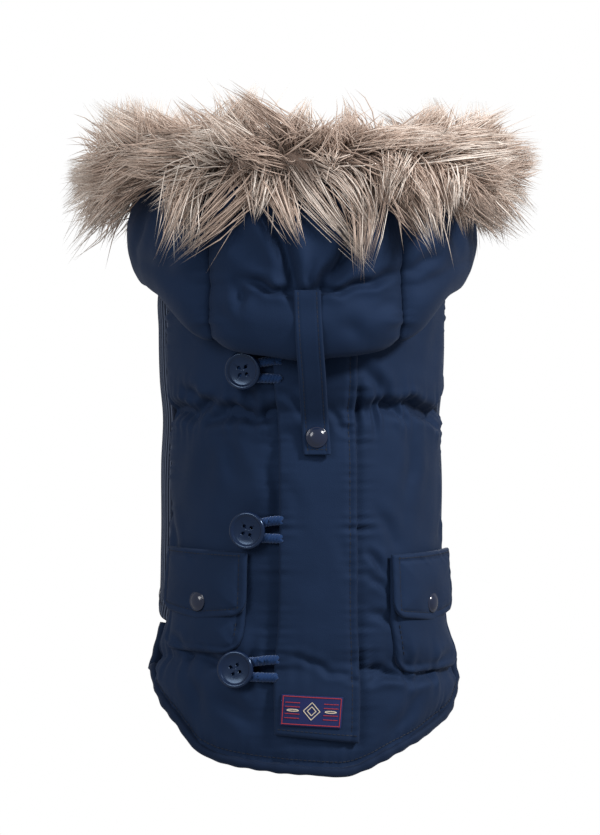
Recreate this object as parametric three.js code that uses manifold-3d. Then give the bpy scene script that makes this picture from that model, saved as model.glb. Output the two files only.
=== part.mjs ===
// A padded, hooded dog jacket, filled out as it is when a dog wears it, with the hood folded back.
// Millimetres and degrees. +Z points to the head, the garment's back faces -Y and its belly +Y.
// The origin is the middle of the neck opening, level with the neck seam at the nape.
import * as THREE from 'three';
import { mergeVertices } from 'three/addons/utils/BufferGeometryUtils.js';
import Module from 'manifold-3d';

const wasm = await Module();
wasm.setup();

// Driving dimensions
const gap = 0.4; // between neighbouring pieces
const lieGap = 0.9; // under a flat piece that lies on a curved one
const backWall = 6; // padded shell, lining and wadding together
const bellyWall = 3;
const hoodWall = 6;
const seamAngle = 80; // side seams, counted from the middle of the back
const girthRadius = 93.5; // turns an arc along the back into an angle
const flapSeamEnd = -251; // the side seams stop here and the tail hangs free
const bindingWidth = 6;
const bindingWall = 7.6;
const plackWall = 3;
const pocketWall = 2;
const flapWall = 2.2;
const hoodTurn = -6.5; // the hood sits a little round to the left

const navy = 0x24355a;
const navyTrim = 0x1c2a48;
const blueCord = 0x1f4173;
const buttonNavy = 0x1d2740;
const furBeige = 0xb8a595;

// Rings of the trunk. s is the height at the nape side, and drop is how much lower the ring's
// throat side is. halfWidth, back and belly are the ring's half axes.
const trunkRings = [
  { s: 0, halfWidth: 62, back: 60, belly: 60, drop: 16 },
  { s: -12, halfWidth: 82, back: 78, belly: 74, drop: 13 },
  { s: -27, halfWidth: 93.5, back: 90, belly: 82, drop: 8 },
  { s: -60, halfWidth: 94.5, back: 94, belly: 86, drop: 2 },
  { s: -92, halfWidth: 93.5, back: 93.5, belly: 87, drop: 0 },
  { s: -117, halfWidth: 91.5, back: 90, belly: 87, drop: 0 },
  { s: -146, halfWidth: 92.5, back: 93.5, belly: 85, drop: 0 },
  { s: -200, halfWidth: 93, back: 95, belly: 80, drop: 0 },
  { s: -250, halfWidth: 95, back: 93.5, belly: 76, drop: 0 },
  { s: -279, halfWidth: 103, back: 91, belly: 76, drop: 0 },
  { s: -310, halfWidth: 103, back: 92, belly: 76, drop: 0 },
  { s: -350, halfWidth: 98, back: 90, belly: 76, drop: 0 },
];

// The tail's lower edge, outside its binding. angle is counted from the middle of the back.
const tailEdge = [
  { angle: -80, s: -283 },
  { angle: -70, s: -302 },
  { angle: -60, s: -316 },
  { angle: -48, s: -334 },
  { angle: -30, s: -342 },
  { angle: 0, s: -347 },
  { angle: 12, s: -347 },
  { angle: 28, s: -336 },
  { angle: 48, s: -322 },
  { angle: 64, s: -310 },
  { angle: 73, s: -295 },
  { angle: 80, s: -276 },
];

// The belly's rear edge, cut higher in the middle.
const bellyEdge = [
  { angle: 80, s: -250 },
  { angle: 125, s: -226 },
  { angle: 180, s: -208 },
  { angle: 235, s: -226 },
  { angle: 280, s: -250 },
];

// Sections of the folded hood. turn is counted from the middle of the hood to either side. fold
// is 1 where the hood hangs in a pouch and 0 where it stands up as a plain collar. lie is how far
// the hood's wall lies out from the trunk, low is the bottom of the pouch and lip the height of
// its rounded bottom. tuck, out, waist, bulge and rim are the radii of the middle of the wall
// from inside the pouch's bottom to the opening, which is at height.
const hoodSections = [
  { turn: 0, fold: 1, lie: 8.6, tuck: 103.5, low: -77, lip: 17, out: 118, waist: 114, bulge: 117.5, rim: 107, height: 34 },
  { turn: 35, fold: 1, lie: 6.5, tuck: 102.5, low: -64, lip: 15, out: 116, waist: 114, bulge: 116, rim: 107, height: 34 },
  { turn: 60, fold: 1, lie: 5, tuck: 99.5, low: -34, lip: 9, out: 110, waist: 110, bulge: 112, rim: 107, height: 34 },
  { turn: 90, fold: 1, lie: 5, tuck: 96, low: -22, lip: 5, out: 104, waist: 107, bulge: 108.5, rim: 106, height: 33 },
  { turn: 130, fold: 0.55, lie: 5, tuck: 86, low: -14, lip: 4, out: 94, waist: 96, bulge: 97, rim: 96, height: 29 },
  { turn: 180, fold: 0, lie: 5, tuck: 70, low: -8, lip: 4, out: 78, waist: 80, bulge: 80, rim: 78, height: 24 },
];
const hoodSeamTurn = 32; // half of the centre panel
const hoodSeamRadius = 58; // middle of the wall at the neck seam

// Section of the fur's reach, from the hood's opening: out from it and up from it.
const furSection = [
  { out: -19, up: 1.9 },
  { out: -21, up: 22 },
  { out: -6, up: 42 },
  { out: 16, up: 44 },
  { out: 34, up: 30 },
  { out: 42, up: 8 },
  { out: 37, up: -18 },
  { out: 24, up: -36 },
  { out: 15.5, up: -34 },
  { out: 15.5, up: 1.9 },
];

// Strap from the hood to the placket: distance of its middle from the axis, height and angle.
const strapWidth = 17.5;
const strapWall = 2.2;
const strapRoute = [
  { radius: 118.9, height: -37, angle: -6.5 },
  { radius: 121.6, height: -47, angle: -6.3 },
  { radius: 123.2, height: -59, angle: -6.0 },
  { radius: 121.6, height: -72, angle: -5.6 },
  { radius: 114, height: -90, angle: -4.7 },
  { radius: 103.5, height: -109, angle: -3.7 },
  { radius: 98.1, height: -121, angle: -3.0 },
  { radius: 97.9, height: -130, angle: -2.6 },
  { radius: 98.8, height: -141, angle: -2.2 },
];
const strapSnapStep = 7; // the row of strapRoute that the snap sits on

const plack = { left: -27.5, right: 22.5, top: -36, bottomLeft: -320, bottomRight: -326 };
const label = { arc: -6.2, s: -305, width: 34.5, height: 19.5, tilt: -4 };
const labelWall = 1;

const pockets = [
  { name: 'left', angle: -50.5, halfWidth: 33, top: -204, bottom: -268 },
  { name: 'right', angle: 50, halfWidth: 34, top: -206, bottom: -281 },
];
const pocketCorner = 12;
const pocketTilt = 3; // the end towards the middle of the back sits this much lower
const flap = { halfWidth: 35, above: 2, drop: 43, point: 5, corner: 9 };

const buttonRadius = 12;
const buttonLift = 5.9; // from the panel to the button's underside
const buttons = [
  { name: 'top', angle: -29.8, s: -87 },
  { name: 'middle', angle: -28.4, s: -189.5 },
  { name: 'bottom', angle: -30, s: -278.5 },
];
const cordRadius = 2.4;
const legHole = { turn: 38, s: -80, across: 21, along: 25 };

const group = new THREE.Group();

function degrees(value) {
  return (value * Math.PI) / 180;
}

function arcAngle(arc) {
  return (arc / girthRadius) * (180 / Math.PI);
}

function mix(a, b, share) {
  return a + (b - a) * share;
}

// A smooth curve through one column of a table whose rows are ordered by the column named by.
function through(rows, by) {
  const sign = Math.sign(rows[rows.length - 1][by] - rows[0][by]);
  const slope = (column, i) => {
    const before = rows[Math.max(i - 1, 0)];
    const after = rows[Math.min(i + 1, rows.length - 1)];
    return (after[column] - before[column]) / (after[by] - before[by]);
  };
  return (column, x) => {
    const last = rows.length - 1;
    if ((x - rows[0][by]) * sign <= 0) return rows[0][column];
    if ((x - rows[last][by]) * sign >= 0) return rows[last][column];
    let i = 0;
    while ((x - rows[i + 1][by]) * sign > 0) i++;
    const step = rows[i + 1][by] - rows[i][by];
    const t = (x - rows[i][by]) / step;
    const rise = t * t * (3 - 2 * t);
    const leave = t * (1 - t) * (1 - t) * step;
    const reach = -t * t * (1 - t) * step;
    return (
      mix(rows[i][column], rows[i + 1][column], rise) + leave * slope(column, i) + reach * slope(column, i + 1)
    );
  };
}

const trunk = through(trunkRings, 's');
const tail = through(tailEdge, 'angle');
const belly = through(bellyEdge, 'angle');
const hood = through(hoodSections, 'turn');

function polar(radius, angle, height) {
  return new THREE.Vector3(radius * Math.sin(degrees(angle)), -radius * Math.cos(degrees(angle)), height);
}

function trunkPoint(angle, s) {
  const facing = Math.cos(degrees(angle));
  const depth = trunk(facing > 0 ? 'back' : 'belly', s);
  const height = s - (trunk('drop', s) * (1 - facing)) / 2;
  return new THREE.Vector3(trunk('halfWidth', s) * Math.sin(degrees(angle)), -depth * facing, height);
}

// The trunk's directions at a point: round it, up it and out of it.
function trunkFrame(angle, s) {
  const step = 0.5;
  const round = trunkPoint(angle + step, s).sub(trunkPoint(angle - step, s)).normalize();
  const up = trunkPoint(angle, Math.min(s + step, 0)).sub(trunkPoint(angle, s - step)).normalize();
  const out = round.clone().cross(up).normalize();
  return { round, up: out.clone().cross(round), out };
}

function trunkMoved(angle, s, distance) {
  return trunkPoint(angle, s).addScaledVector(trunkFrame(angle, s).out, distance);
}

function signedVolume(points, triangles) {
  let total = 0;
  for (const [a, b, c] of triangles) total += points[a].dot(points[b].clone().cross(points[c]));
  return total / 6;
}

// A closed geometry from shared points and triangles, turned to face outwards.
function closed(points, triangles) {
  const inside = signedVolume(points, triangles) < 0;
  const order = triangles.flatMap(([a, b, c]) => (inside ? [a, c, b] : [a, b, c]));
  const geometry = new THREE.BufferGeometry().setFromPoints(points);
  geometry.setIndex(order);
  return geometry;
}

// A wall between two faces. face(u, v, side) gives a point for u and v from 0 to 1 and side 0 or 1.
function wall(across, along, face) {
  const points = [];
  const at = (i, j, side) => (side * (across + 1) + i) * (along + 1) + j;
  for (const side of [0, 1]) {
    for (let i = 0; i <= across; i++) {
      for (let j = 0; j <= along; j++) points.push(face(i / across, j / along, side));
    }
  }
  const triangles = [];
  const quad = (a, b, c, d) => triangles.push([a, b, c], [a, c, d]);
  for (let i = 0; i < across; i++) {
    for (let j = 0; j < along; j++) {
      quad(at(i, j, 0), at(i + 1, j, 0), at(i + 1, j + 1, 0), at(i, j + 1, 0));
      quad(at(i, j, 1), at(i, j + 1, 1), at(i + 1, j + 1, 1), at(i + 1, j, 1));
    }
    quad(at(i, 0, 0), at(i, 0, 1), at(i + 1, 0, 1), at(i + 1, 0, 0));
    quad(at(i, along, 0), at(i + 1, along, 0), at(i + 1, along, 1), at(i, along, 1));
  }
  for (let j = 0; j < along; j++) {
    quad(at(0, j, 0), at(0, j + 1, 0), at(0, j + 1, 1), at(0, j, 1));
    quad(at(across, j, 0), at(across, j, 1), at(across, j + 1, 1), at(across, j + 1, 0));
  }
  return closed(points, triangles);
}

// A solid through equal sections, each a ring of points. It is joined end to end if looped.
function loft(sections, looped) {
  const size = sections[0].length;
  const count = sections.length;
  const triangles = [];
  for (let i = 0; i < (looped ? count : count - 1); i++) {
    for (let k = 0; k < size; k++) {
      const a = i * size + k;
      const b = i * size + ((k + 1) % size);
      const c = ((i + 1) % count) * size + ((k + 1) % size);
      const d = ((i + 1) % count) * size + k;
      triangles.push([a, b, c], [a, c, d]);
    }
  }
  if (!looped) {
    for (let k = 1; k < size - 1; k++) {
      triangles.push([0, k + 1, k]);
      triangles.push([(count - 1) * size, (count - 1) * size + k, (count - 1) * size + k + 1]);
    }
  }
  return closed(sections.flat(), triangles);
}

function solidOf(geometry) {
  const bare = (geometry.index ? geometry.toNonIndexed() : geometry.clone()).deleteAttribute('normal');
  bare.deleteAttribute('uv');
  const merged = mergeVertices(bare, 1e-4);
  return new wasm.Manifold(
    new wasm.Mesh({
      numProp: 3,
      vertProperties: new Float32Array(merged.attributes.position.array),
      triVerts: new Uint32Array(merged.index.array),
    }),
  );
}

function geometryOf(solid) {
  const mesh = solid.getMesh();
  const geometry = new THREE.BufferGeometry();
  geometry.setAttribute('position', new THREE.BufferAttribute(new Float32Array(mesh.vertProperties), 3));
  geometry.setIndex(new THREE.BufferAttribute(new Uint32Array(mesh.triVerts), 1));
  return geometry;
}

function cutAway(geometry, tools) {
  let solid = solidOf(geometry);
  for (const tool of tools) solid = solid.subtract(solidOf(tool));
  return geometryOf(solid);
}

function add(name, geometry, colour, roughness = 0.8, metalness = 0) {
  const material = new THREE.MeshStandardMaterial({ color: colour, roughness, metalness });
  const mesh = new THREE.Mesh(geometry, material);
  mesh.name = name;
  group.add(mesh);
  return mesh;
}

// Places a geometry that is made flat, facing +Z, on the trunk at a distance out from it.
function seat(geometry, angle, s, distance) {
  const { round, up, out } = trunkFrame(angle, s);
  const place = new THREE.Matrix4().makeBasis(round, up, out);
  place.setPosition(trunkMoved(angle, s, distance));
  return geometry.applyMatrix4(place);
}

// Where a panel's lower edge meets the binding at an angle, square to the slope of the edge.
function backFoot(angle) {
  const step = 1;
  const fall = tail('s', angle + step) - tail('s', angle - step);
  const slope = fall / (2 * degrees(step) * girthRadius);
  return tail('s', angle) + bindingWidth / 2 + (bindingWidth / 2 + lieGap) * Math.hypot(1, slope);
}

function addBack() {
  const across = 24;
  const along = 18;
    const shell = wall(across, along, (u, v, side) => {
    const angle = mix(-seamAngle, seamAngle, u);
    return trunkMoved(angle, mix(0, backFoot(angle), v), -side * backWall);
  });
  add('back_panel', shell, navy);
}

function addBelly() {
  const across = 24;
  const along = 11;
  const from = seamAngle + arcAngle(gap);
  const shell = wall(across, along, (u, v, side) => {
    const angle = mix(from, 360 - from, u);
    return trunkMoved(angle, mix(0, belly('s', angle), v), -side * bellyWall);
  });
  const oval = new THREE.Shape().absellipse(0, 0, legHole.across, legHole.along, 0, 2 * Math.PI);
  const depth = 60;
  const holes = [-1, 1].map((hand) => {
    const punch = new THREE.ExtrudeGeometry(oval, { depth, bevelEnabled: false, curveSegments: 10 });
    return seat(punch.translate(0, 0, -depth / 2), 180 + hand * legHole.turn, legHole.s, 0);
  });
  add('belly_panel', cutAway(shell, holes), navyTrim);
}

// The route of the hood's wall from the neck seam round the pouch to the opening, as a curve of
// radius and height.
function hoodRoute(turn) {
  const here = Math.abs(turn);
  const side = turn + hoodTurn;
  const start = (-trunkRings[0].drop * (1 - Math.cos(degrees(side)))) / 2 + gap;
  const stand = start + 6;
  const low = hood('low', here);
  const base = low + hood('lip', here);
  const onTrunk = (share) => {
    const point = trunkMoved(side, base * share, hood('lie', here));
    return { radius: Math.hypot(point.x, point.y), height: point.z };
  };
  const rim = { radius: hood('rim', here), height: hood('height', here) };
  const pouch = [
    { radius: hoodSeamRadius, height: stand },
    { radius: hoodSeamRadius + 9, height: stand + 4 },
    onTrunk(0.25),
    onTrunk(0.6),
    { radius: hood('tuck', here), height: base },
    { radius: (hood('tuck', here) + hood('out', here)) / 2, height: low },
    { radius: hood('out', here), height: base },
    { radius: hood('waist', here), height: low * 0.5 },
    { radius: hood('bulge', here), height: low * 0.18 },
    rim,
  ];
  const fold = hood('fold', here);
  const points = pouch.map((point, k) => {
    const share = k / (pouch.length - 1);
    const plain = { radius: mix(hoodSeamRadius, rim.radius, share), height: mix(stand, rim.height, share) };
    const radius = mix(plain.radius, point.radius, fold);
    return new THREE.Vector3(radius, mix(plain.height, point.height, fold), 0);
  });
  points.unshift(new THREE.Vector3(hoodSeamRadius, start, 0));
  return new THREE.CatmullRomCurve3(points, false, 'centripetal');
}

function hoodWallPoint(turn, along, distance) {
  const route = hoodRoute(turn);
  const middle = route.getPoint(along);
  const way = route.getTangent(along);
  return polar(middle.x + way.y * distance, turn + hoodTurn, middle.y - way.x * distance);
}

function addHood() {
  const along = 17;
  const seam = (gap / 2 / hoodSections[0].out) * (180 / Math.PI);
  const panels = [
    { name: 'hood_left', from: -180 + 2 * seam, to: -hoodSeamTurn - seam, across: 15 },
    { name: 'hood_centre', from: -hoodSeamTurn + seam, to: hoodSeamTurn - seam, across: 10 },
    { name: 'hood_right', from: hoodSeamTurn + seam, to: 180 - 2 * seam, across: 15 },
  ];
  for (const { name, from, to, across } of panels) {
    const shell = wall(across, along, (u, v, side) =>
      hoodWallPoint(mix(from, to, u), v, (side - 0.5) * hoodWall),
    );
    add(name, shell, navy);
  }
}

function addFur() {
  const steps = 36;
  const sections = [];
  for (let i = 0; i < steps; i++) {
    const turn = (360 * i) / steps;
    const here = Math.min(turn, 360 - turn);
    sections.push(
      furSection.map(({ out, up }) =>
        polar(hood('rim', here) + out, turn + hoodTurn, hood('height', here) + up),
      ),
    );
  }
  add('fur_trim', loft(sections, true), furBeige, 0.95);
}

function addPlacket() {
  const strip = wall(4, 18, (u, v, side) => {
    const arc = mix(plack.left, plack.right, u);
    const foot = mix(plack.bottomLeft, plack.bottomRight, u);
    return trunkMoved(arcAngle(arc), mix(plack.top, foot, v), lieGap + side * plackWall);
  });
  add('placket', strip, navy);
}

function addLabel() {
  const patch = wall(6, 3, (u, v, side) => {
    const x = (u - 0.5) * label.width;
    const y = (0.5 - v) * label.height;
    const turned = degrees(label.tilt);
    const arc = label.arc + x * Math.cos(turned) - y * Math.sin(turned);
    const s = label.s + x * Math.sin(turned) + y * Math.cos(turned);
    return trunkMoved(arcAngle(arc), s, lieGap + gap + plackWall + side * labelWall);
  });
  add('label', patch, 0x1d2250);
}

// How far a rounded lower corner lifts the edge at u, which runs from -1 to 1 across the piece.
function cornerLift(u, halfWidth, corner) {
  const past = Math.max(0, Math.abs(u) * halfWidth - (halfWidth - corner)) / corner;
  return corner * (1 - Math.sqrt(Math.max(0, 1 - past * past)));
}

function addPocket({ name, angle, halfWidth, top, bottom }) {
  const tilt = (u) => (u * Math.sign(angle) * pocketTilt) / 2;
  const place = (arc, s, distance) => trunkMoved(angle + arcAngle(arc), s, distance);
  const patch = wall(12, 8, (share, v, side) => {
    const u = 2 * share - 1;
    const foot = bottom + cornerLift(u, halfWidth, pocketCorner);
    return place(u * halfWidth, mix(top, foot, v) + tilt(u), lieGap + side * pocketWall);
  });
  add(`pocket_${name}`, patch, navy);

  const under = lieGap + gap + pocketWall;
  const cover = wall(12, 5, (share, v, side) => {
    const u = 2 * share - 1;
    const foot = top - flap.drop + flap.point * Math.abs(u) + cornerLift(u, flap.halfWidth, flap.corner);
    return place(u * flap.halfWidth, mix(top + flap.above, foot, v) + tilt(u), under + side * flapWall);
  });
  add(`pocket_flap_${name}`, cover, navy);

  const capHeight = top - flap.drop + 12;
  add(
    `pocket_snap_${name}`,
    seat(snapCap(6.6), angle, capHeight, under + flapWall + gap),
    buttonNavy,
    0.3,
  );
}

// A domed snap cap standing on its flat base, facing +Z.
function snapCap(radius) {
  const profile = [
    new THREE.Vector2(0, 0),
    new THREE.Vector2(radius, 0),
    new THREE.Vector2(radius, 0.9),
    new THREE.Vector2(radius * 0.86, 2),
    new THREE.Vector2(radius * 0.5, 2.8),
    new THREE.Vector2(0, 3.1),
  ];
  return new THREE.LatheGeometry(profile, 14).rotateX(Math.PI / 2);
}

// A four-hole button with a raised rim, standing on its thread shank, facing +Z.
function button() {
  const shank = 1.7;
  const profile = [
    new THREE.Vector2(0, gap - buttonLift),
    new THREE.Vector2(shank, gap - buttonLift),
    new THREE.Vector2(shank, 0),
    new THREE.Vector2(buttonRadius - 1.6, 0),
    new THREE.Vector2(buttonRadius, 1.4),
    new THREE.Vector2(buttonRadius - 0.4, 3.2),
    new THREE.Vector2(buttonRadius - 2.2, 3.2),
    new THREE.Vector2(buttonRadius - 3.2, 2.2),
    new THREE.Vector2(0, 2),
  ];
  const disc = new THREE.LatheGeometry(profile, 18).rotateX(Math.PI / 2);
  const holeSpread = 2.5;
  const holes = [0, 1, 2, 3].map((k) => {
    const around = degrees(45 + 90 * k);
    const hole = new THREE.CylinderGeometry(1, 1, 6, 6).rotateX(Math.PI / 2);
    const way = holeSpread * Math.SQRT2;
    return hole.translate(way * Math.cos(around), way * Math.sin(around), 2);
  });
  return cutAway(disc, holes);
}

// The cord loop comes from under the placket's edge, round the button's shank and back.
function addButton({ name, angle, s }) {
  add(`button_${name}`, seat(button(), angle, s, buttonLift), buttonNavy, 0.35);

  const reach = plack.left - gap - (angle * Math.PI * girthRadius) / 180;
  const turnWidth = 1.7 + gap + cordRadius;
  const loopRoute = [
    { x: reach, y: 6.2 },
    { x: reach * 0.72, y: 5.6 },
    { x: reach * 0.4, y: 4.7 },
    { x: 0, y: turnWidth },
    { x: -turnWidth * 0.75, y: turnWidth * 0.72 },
    { x: -turnWidth, y: 0 },
    { x: -turnWidth * 0.75, y: -turnWidth * 0.72 },
    { x: 0, y: -turnWidth },
    { x: reach * 0.4, y: -4.7 },
    { x: reach * 0.72, y: -5.2 },
    { x: reach, y: -5.4 },
  ];
  const height = gap + cordRadius;
  const route = loopRoute.map(({ x, y }) => trunkMoved(angle + arcAngle(x), s + y, height));
  const section = new THREE.Shape().absarc(0, 0, cordRadius, 0, 2 * Math.PI);
  const cord = new THREE.ExtrudeGeometry(section, {
    steps: 20,
    curveSegments: 4,
    bevelEnabled: false,
    extrudePath: new THREE.CatmullRomCurve3(route),
  });
  add(`loop_${name}`, cord, blueCord);
}

function addStrap() {
  const centres = strapRoute.map(({ radius, height, angle }) => polar(radius, angle, height));
  const route = new THREE.CatmullRomCurve3(centres);
  const steps = 18;
  const sections = [];
  for (let i = 0; i <= steps; i++) {
    const middle = route.getPoint(i / steps);
    const way = route.getTangent(i / steps);
    const side = new THREE.Vector3(0, 0, 1).cross(polar(1, strapRoute[0].angle, 0)).normalize();
    const out = side.clone().cross(way).normalize();
    const corner = (x, y) =>
      middle.clone().addScaledVector(side, (x * strapWidth) / 2).addScaledVector(out, (y * strapWall) / 2);
    sections.push([corner(-1, -1), corner(1, -1), corner(1, 1), corner(-1, 1)]);
  }
  add('hood_strap', loft(sections, false), navy);

  const { radius, height, angle } = strapRoute[strapSnapStep];
  const cap = snapCap(7);
  const place = new THREE.Matrix4().makeRotationFromEuler(new THREE.Euler(Math.PI / 2, 0, 0));
  cap.applyMatrix4(place);
  cap.rotateZ(degrees(angle));
  const at = polar(radius + strapWall / 2 + lieGap, angle, height);
  add('strap_snap', cap.translate(at.x, at.y, at.z), buttonNavy, 0.3);
}

// The binding runs down the free side edge, round the tail and up the other side.
function addBinding() {
  const centre = bindingWidth / 2;
  const side = (degrees(seamAngle) * girthRadius) + gap + centre;
  const corner = (hand) => tail('s', hand * seamAngle) + centre;
  const sideRun = (hand) =>
    [0, 1, 2].map((k) => new THREE.Vector2(hand * side, mix(flapSeamEnd, corner(hand), k / 3)));
  const steps = 40;
  const foot = [];
  for (let i = 0; i <= steps; i++) {
    const arc = mix(-side, side, i / steps);
    foot.push(new THREE.Vector2(arc, tail('s', arcAngle(arc)) + centre));
  }
  const route = [...sideRun(-1), ...foot, ...sideRun(1).reverse()];
  const outer = (bindingWall - backWall) / 2;
  const sections = route.map((point, i) => {
    const before = route[Math.max(i - 1, 0)];
    const after = route[Math.min(i + 1, route.length - 1)];
    const way = after.clone().sub(before).normalize();
    const corners = [
      [centre, outer],
      [-centre, outer],
      [-centre, -backWall - outer],
      [centre, -backWall - outer],
    ];
    return corners.map(([wide, deep]) =>
      trunkMoved(arcAngle(point.x - way.y * wide), point.y + way.x * wide, deep),
    );
  });
  add('tail_binding', loft(sections, false), navyTrim);
}

addBack();
addBelly();
addHood();
addFur();
addPlacket();
addLabel();
pockets.forEach(addPocket);
buttons.forEach(addButton);
addStrap();
addBinding();

export default group;
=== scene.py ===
import math
import bpy
import numpy as np
from mathutils import Matrix, Vector


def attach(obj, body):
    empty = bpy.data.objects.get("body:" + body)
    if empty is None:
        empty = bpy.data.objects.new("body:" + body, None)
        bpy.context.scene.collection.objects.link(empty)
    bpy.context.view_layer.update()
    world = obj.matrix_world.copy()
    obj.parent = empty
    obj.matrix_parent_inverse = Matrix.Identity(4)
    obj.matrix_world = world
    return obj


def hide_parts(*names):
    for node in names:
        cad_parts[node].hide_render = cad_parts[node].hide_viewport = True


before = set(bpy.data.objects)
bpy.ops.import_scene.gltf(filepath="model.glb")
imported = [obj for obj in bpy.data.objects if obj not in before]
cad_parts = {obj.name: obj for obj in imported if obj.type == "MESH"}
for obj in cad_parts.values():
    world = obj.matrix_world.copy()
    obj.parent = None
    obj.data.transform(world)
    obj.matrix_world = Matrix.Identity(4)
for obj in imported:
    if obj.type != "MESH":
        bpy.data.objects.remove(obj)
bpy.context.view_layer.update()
mm = 0.001
draw = np.random.default_rng(41)

# What a user would change, piece by piece. Sizes are in millimetres and angles in degrees.
view = {"azimuth": -8, "distance": 3000, "height": -117.2, "tall": 551, "aside": -1.0}
colours = {
    "navy": (0.0066, 0.0140, 0.0350),
    "rib": (0.005, 0.010, 0.024),
    "binding": (0.004, 0.008, 0.020),
    "cord": (0.008, 0.026, 0.082),
    "gloss": (0.0045, 0.0105, 0.034),
    "thread": (0.004, 0.008, 0.020),
    "label": (0.014, 0.017, 0.070),
    "red": (0.30, 0.022, 0.035),
    "ecru": (0.50, 0.44, 0.34),
    # furDark is painted shade at the roots of the pile; mixed with furMid it also gives the darkest lock
    # tone.
    "furDark": (0.20, 0.135, 0.108),
    "furMid": (0.58, 0.445, 0.365),
    "furLight": (0.90, 0.82, 0.745),
}
trunkLook = {"wall": 6, "across": 180, "along": 190, "seamAngle": 80, "girthRadius": 93.5}
hoodLook = {"wall": 6, "turn": -6.5, "seamTurn": 32, "seamRadius": 58, "along": 120, "puff": 3.0}
furLook = {
    "strands": 21500, "locks": 330, "steps": 4, "thick": 0.55, "shortest": 27, "longest": 54,
    "gather": 0.8, "curl": 0.42, "reachOut": 53, "reachUp": 97, "pieces": 4,
}
stitchLook = {"pitch": 2.9, "length": 2.0, "radius": 0.28}


def table(names, *rows):
    return {name: np.array([row[k] for row in rows], float) for k, name in enumerate(names.split())}


trunkRings = table(
    "s halfWidth back belly drop",
    (0, 62, 60, 60, 16), (-12, 82, 78, 74, 13), (-27, 93.5, 90, 82, 8), (-60, 94.5, 94, 86, 2),
    (-92, 93.5, 93.5, 87, 0), (-117, 91.5, 90, 87, 0), (-146, 92.5, 93.5, 85, 0),
    (-200, 93, 95, 80, 0), (-250, 95, 93.5, 76, 0), (-279, 103, 91, 76, 0),
    (-310, 103, 92, 76, 0), (-350, 98, 90, 76, 0),
)
tailEdge = table(
    "angle s",
    (-80, -283), (-70, -302), (-60, -316), (-48, -334), (-30, -342), (0, -347),
    (12, -347), (28, -336), (48, -322), (64, -310), (73, -295), (80, -276),
)
bellyEdge = table("angle s", (80, -250), (125, -226), (180, -208), (235, -226), (280, -250))
hoodSections = table(
    "turn fold lie tuck low lip out waist bulge rim height",
    (0, 1, 8.6, 103.5, -77, 17, 118, 114, 117.5, 107, 34),
    (35, 1, 6.5, 102.5, -64, 15, 116, 114, 116, 107, 34),
    (60, 1, 5, 99.5, -34, 9, 110, 110, 112, 107, 34),
    (90, 1, 5, 96, -22, 5, 104, 107, 108.5, 106, 33),
    (130, 0.55, 5, 86, -14, 4, 94, 96, 97, 96, 29),
    (180, 0, 5, 70, -8, 4, 78, 80, 80, 78, 24),
)

# Soft troughs (depth over 0) laid along straight runs: x is along the arc of the back.
backCreases = table(
    "x0 s0 x1 s1 depth width",
    (-88, -111, -76, -107, 2.6, 3.2), (-72, -111, -50, -115, 2.4, 3.0), (-78, -119, -44, -120, 2.2, 3.4),
    (-40, -118, -22, -112, 1.6, 3.0), (40, -108, 62, -117, 2.2, 3.2), (30, -88, 47, -112, 1.5, 4.0),
    (60, -108, 78, -111, 2.6, 3.2), (82, -113, 104, -121, 2.4, 3.6), (-100, -100, -84, -108, 2.0, 4.2),
    (-120, -112, -96, -116, 2.0, 4.0), (104, -118, 124, -108, 2.0, 4.0), (-58, -92, -46, -104, 1.1, 3.4),
    (-66, -132, -60, -150, 1.0, 5.0), (70, -134, 66, -160, 1.1, 5.5), (-34, -150, -30, -186, 1.0, 5.0),
    (33, -205, 41, -216, 1.4, 2.6), (34, -221, 43, -227, 1.3, 2.4), (35, -243, 46, -248, 1.2, 2.8),
    (40, -180, 52, -196, 0.9, 4.2), (-108, -258, -90, -270, 1.8, 3.0), (-90, -270, -62, -276, 1.6, 2.6),
    (28, -280, 44, -282, 2.0, 2.6), (30, -286, 56, -286, 1.7, 2.4), (80, -280, 100, -272, 1.8, 3.0),
    (58, -289, 78, -285, 1.4, 2.8), (-52, -284, -34, -279, 1.6, 2.6), (-60, -300, -44, -312, 0.9, 4.4),
    (60, -300, 48, -318, 1.0, 4.6), (-84, -286, -78, -306, 0.9, 4.4), (-124, -180, -116, -214, 1.2, 4.6),
    (122, -150, 116, -190, 1.2, 4.6),
)
plackCreases = table(
    "x0 s0 x1 s1 depth width",
    (-24, -101, -14, -114, 1.0, 2.6), (6, -113, 12, -124, 0.9, 2.4), (12, -124, 18, -128, 0.8, 2.4),
    (-20, -270, -8, -273, 0.9, 2.2), (-8, -273, 4, -281, 1.0, 2.2), (4, -281, 20, -286, 0.9, 2.2),
    (-22, -160, -16, -186, 0.5, 4.0), (10, -196, 15, -224, 0.5, 4.0),
)
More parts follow.
